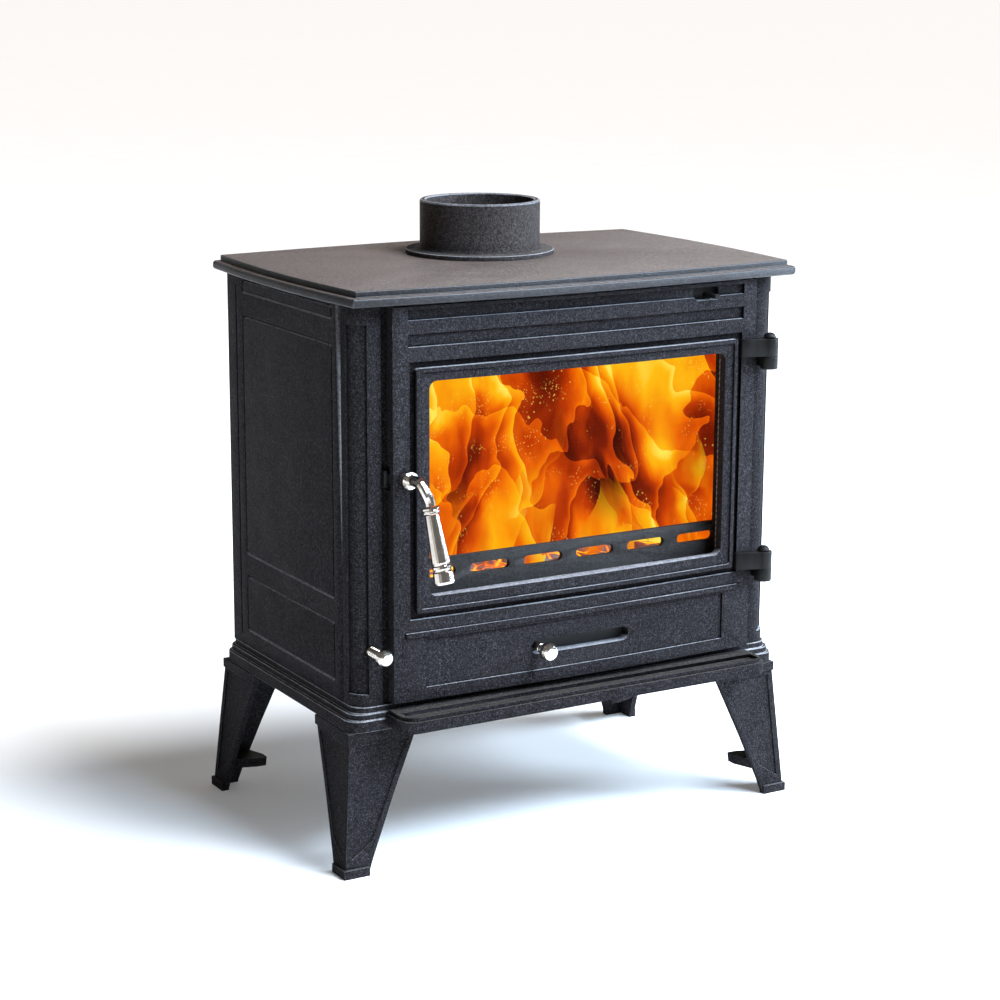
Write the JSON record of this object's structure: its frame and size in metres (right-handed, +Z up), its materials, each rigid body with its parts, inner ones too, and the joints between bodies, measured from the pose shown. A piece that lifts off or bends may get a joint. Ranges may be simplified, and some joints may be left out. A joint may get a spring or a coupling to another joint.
{
  "type": "wood burning stove",
  "caption": "Free-standing cast-iron wood-burning stove with a glazed front door, top flue collar, splayed legs, ash lip, riddling grate and sliding air controls.",
  "frame": {"origin": "middle of the bounding box's footprint, on the floor under the feet", "axes": "+Z up, the door faces -Y, +X is to the viewer's right"},
  "size_m": [0.59, 0.4348, 0.702],
  "materials": {
    "cast_iron": "matt charcoal heat-resistant paint on sandy cast iron",
    "top_iron": "matt warm grey heat-resistant paint",
    "inner_iron": "sooty bare cast iron",
    "black_steel": "satin black",
    "sheet_steel": "plain dark sheet steel",
    "nickel": "polished nickel plate",
    "fire_brick": "rough refractory board",
    "glass_fibre": "woven glass-fibre rope and tape",
    "stove_glass": "clear heat-resistant glass"
  },
  "bodies": {
    "stove_body": {"top_plate": "top_iron", "flue_collar": "cast_iron", "base_casting": "cast_iron", "ash_lip": "cast_iron", "leg_front_left": "cast_iron", "leg_front_right": "cast_iron", "leg_rear_left": "cast_iron", "leg_rear_right": "cast_iron", "side_panel_left": "cast_iron", "side_panel_right": "cast_iron", "back_panel": "cast_iron", "rear_outlet_cover": "cast_iron", "cover_bolt_left": "black_steel", "cover_bolt_right": "black_steel", "front_frame": "cast_iron", "hinge_knuckle_upper": "black_steel", "hinge_knuckle_lower": "black_steel", "hinge_pin_upper": "black_steel", "hinge_pin_lower": "black_steel", "latch_keeper": "black_steel", "grate_frame": "inner_iron", "fire_brick_left": "fire_brick", "fire_brick_right": "fire_brick", "fire_brick_rear_left": "fire_brick", "fire_brick_rear_right": "fire_brick", "baffle_plate": "inner_iron", "log_retainer": "inner_iron", "ash_pan": "sheet_steel"},
    "riddling": {"riddling_knob": "nickel", "riddling_rod": "black_steel", "shuttle_grate": "inner_iron"},
    "door": {"door_casting": "cast_iron", "door_rope_seal": "glass_fibre", "glass_gasket": "glass_fibre", "door_glass": "stove_glass", "glass_clip_upper_left": "sheet_steel", "glass_clip_upper_right": "sheet_steel", "glass_clip_lower_left": "sheet_steel", "glass_clip_lower_right": "sheet_steel", "clip_screw_upper_left": "black_steel", "clip_screw_upper_right": "black_steel", "clip_screw_lower_left": "black_steel", "clip_screw_lower_right": "black_steel", "hinge_arm_upper": "black_steel", "hinge_arm_lower": "black_steel"},
    "handle": {"handle_arm": "nickel", "handle_collar": "nickel", "handle_grip": "nickel", "latch_cam": "black_steel", "cam_retaining_ring": "black_steel"},
    "air_slide": {"air_slide_plate": "sheet_steel", "air_knob": "nickel"},
    "airwash": {"airwash_slide": "black_steel"}
  },
  "joints": [
    {"name": "door_swing", "type": "hinge", "parent": "stove_body", "child": "door", "pos_m": [0.244, -0.16062, 0.42], "axis": [0, 0, 1], "range_deg": [0, 110]},
    {"name": "handle_turn", "type": "hinge", "parent": "door", "child": "handle", "pos_m": [-0.218, -0.15, 0.437], "axis": [0, 1, 0], "range_deg": [0, 90]},
    {"name": "air_slide_travel", "type": "slide", "parent": "door", "child": "air_slide", "axis": [1, 0, 0], "range_m": [0, 0.1]},
    {"name": "airwash_travel", "type": "slide", "parent": "door", "child": "airwash", "axis": [1, 0, 0], "range_m": [-0.018, 0.007]},
    {"name": "riddle_pull", "type": "slide", "parent": "stove_body", "child": "riddling", "axis": [0, -1, 0], "range_m": [0, 0.025]}
  ]
}
